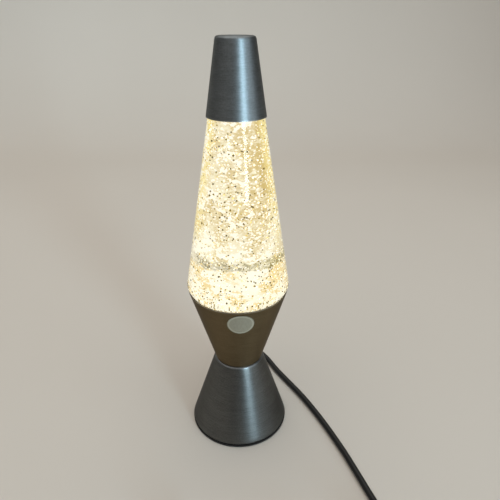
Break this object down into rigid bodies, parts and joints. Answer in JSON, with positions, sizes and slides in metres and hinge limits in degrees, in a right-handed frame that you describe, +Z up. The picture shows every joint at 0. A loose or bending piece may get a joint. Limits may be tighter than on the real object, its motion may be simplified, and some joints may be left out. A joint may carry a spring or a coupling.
{
  "type": "liquid motion lamp",
  "caption": "Table lamp with a tapered glass globe of glitter in liquid, seated in a spun hourglass base over a small screw bulb, under a lift-off cap, with a cord, rocker switch and plug.",
  "frame": {"origin": "on the lamp's axis, at the surface that its foot stands on", "axes": "+Z up along the lamp's axis; -Y towards the label at the front"},
  "size_m": [0.2034, 0.3466, 0.368],
  "materials": {
    "spun_aluminium": "fine spun lines, satin",
    "foot_rubber": "matt",
    "black_plastic": "fine moulded grain",
    "cord_pvc": "satin",
    "screw_steel": "zinc plated",
    "brass": "bright",
    "nickel": "bright",
    "solder": "soft",
    "holder_plastic": "moulded",
    "wire_insulation": "satin",
    "label_foil": "satin foil",
    "bulb_glass": "frosted",
    "bulb_black": "glassy",
    "filament_wire": "glowing",
    "globe_glass": "clear",
    "liquid": "clear, pale straw",
    "glitter": "metallised film",
    "crown_tinplate": "gold lacquer",
    "liner_plastic": "soft"
  },
  "bodies": {
    "base": {"foot_ring": "foot_rubber", "base_plate": "black_plastic", "base_plate_screws": "screw_steel", "lip_nuts": "screw_steel", "base_cone": "spun_aluminium", "cord_gland": "cord_pvc", "inner_leads": "wire_insulation", "lamp_socket": "holder_plastic", "socket_ring_nut": "black_plastic", "socket_shell": "brass", "socket_contact": "brass", "socket_terminals": "brass", "terminal_screws": "screw_steel", "globe_cup": "spun_aluminium", "label_disc": "label_foil", "cord_lead": "cord_pvc", "switch_case_bottom": "black_plastic", "switch_case_top": "black_plastic", "switch_contacts": "brass", "switch_screws": "screw_steel", "cord_link": "cord_pvc", "cord_coil": "cord_pvc", "coil_tie": "cord_pvc", "cord_tail": "cord_pvc", "plug_body": "cord_pvc", "plug_pins": "nickel"},
    "bulb_tip": {"bulb_contact": "solder"},
    "bulb": {"bulb_insulator": "bulb_black", "bulb_screw_cap": "nickel", "bulb_glass": "bulb_glass", "bulb_stem": "bulb_glass", "bulb_filament": "filament_wire"},
    "globe": {"glass_globe": "globe_glass", "globe_liquid": "liquid", "glitter_flakes": "glitter", "crown_liner": "liner_plastic", "crown_cap": "crown_tinplate"},
    "cap": {"top_cap": "spun_aluminium"},
    "rocker": {"switch_rocker": "black_plastic"}
  },
  "joints": [
    {"name": "globe_lift", "type": "slide", "parent": "base", "child": "globe", "axis": [0, 0, 1], "range_m": [0, 0.06]},
    {"name": "cap_lift", "type": "slide", "parent": "globe", "child": "cap", "axis": [0, 0, 1], "range_m": [0, 0.065]},
    {"name": "bulb_advance", "type": "slide", "parent": "base", "child": "bulb_tip", "axis": [0, 0, 1], "range_m": [0, 0.0085]},
    {"name": "bulb_turn", "type": "hinge", "parent": "bulb_tip", "child": "bulb", "pos_m": [0, 0, 0.07], "axis": [0, 0, 1], "range_deg": [0, 1080]},
    {"name": "switch_rock", "type": "hinge", "parent": "base", "child": "rocker", "pos_m": [0.1215, -0.173, 0.014], "axis": [1, 0, 0], "range_deg": [0, 22]}
  ],
  "couplings": [
    {"joint": "bulb_advance", "follows": "bulb_turn", "m_per_rad": 0.00044882}
  ]
}
